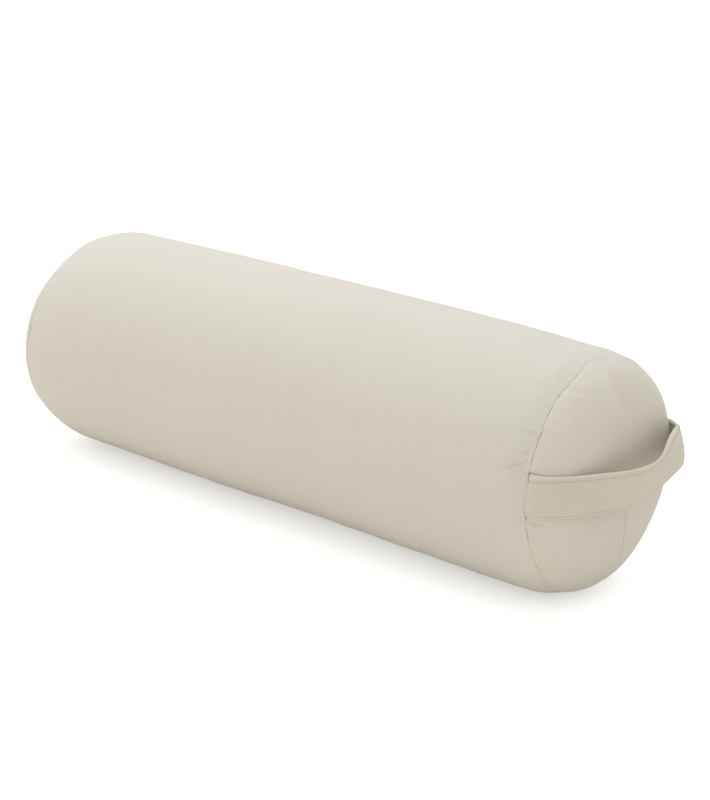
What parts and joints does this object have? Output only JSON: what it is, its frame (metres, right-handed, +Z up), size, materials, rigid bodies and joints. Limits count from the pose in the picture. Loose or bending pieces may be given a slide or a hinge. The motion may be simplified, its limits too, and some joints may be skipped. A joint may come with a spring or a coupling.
{
  "type": "round yoga bolster",
  "caption": "Round stuffed bolster in a zipped cloth cover, with domed half-moon end panels, a sewn carry strap bowed across one end and a long zip in the rear seam.",
  "frame": {"origin": "on the floor under the middle of the bolster, half way between its two ring seams, on the flat that its weight presses", "axes": "+X along the bolster towards the end with the handle, -Y the front that the picture shows, +Y the rear with the zip, +Z up"},
  "size_m": [0.7424, 0.2391, 0.233],
  "materials": {
    "cover_cloth": "matt brushed cotton or micro-suede, warm beige",
    "end_panel_cloth": "the cover's cloth, a little shaded",
    "handle_cloth": "the cover's cloth, folded and topstitched",
    "webbing": "woven stiffening tape",
    "zip_tape": "woven polyester tape",
    "zip_coil": "satin nylon",
    "zip_metal": "satin plated metal",
    "label_satin": "white satin, bare",
    "liner_muslin": "undyed muslin",
    "wadding": "needled wadding sheet",
    "rolled_batting": "rolled cotton batting",
    "loose_fibre": "loose fibre pad"
  },
  "bodies": {
    "bolster": {"cover_tube": "cover_cloth", "handle_end_panel_front": "end_panel_cloth", "handle_end_panel_rear": "end_panel_cloth", "plain_end_panel_front": "end_panel_cloth", "plain_end_panel_rear": "end_panel_cloth", "zip_tape_upper": "zip_tape", "zip_tape_lower": "zip_tape", "zip_coil_upper": "zip_coil", "zip_coil_lower": "zip_coil", "zip_top_stop_upper": "zip_metal", "zip_top_stop_lower": "zip_metal", "zip_bottom_stop": "zip_metal", "care_label": "label_satin", "liner_tube": "liner_muslin", "liner_end_near": "liner_muslin", "liner_end_far": "liner_muslin", "fill_wrap": "wadding", "fill_core": "rolled_batting", "end_pad_near": "loose_fibre", "end_pad_far": "loose_fibre"},
    "handle": {"handle_sleeve": "handle_cloth", "handle_webbing": "webbing"},
    "slider": {"zip_slider": "zip_metal"},
    "pull": {"zip_pull_tab": "zip_metal"}
  },
  "joints": [
    {"name": "handle_pull", "type": "slide", "parent": "bolster", "child": "handle", "axis": [1, 0, 0], "range_m": [0, 0.024]},
    {"name": "zip_slide", "type": "slide", "parent": "bolster", "child": "slider", "axis": [-1, 0, 0], "range_m": [0, 0.441]},
    {"name": "zip_pull_swing", "type": "hinge", "parent": "slider", "child": "pull", "pos_m": [0.2205, 0.1188, 0.115], "axis": [0, 0, -1], "range_deg": [0, 180]}
  ]
}
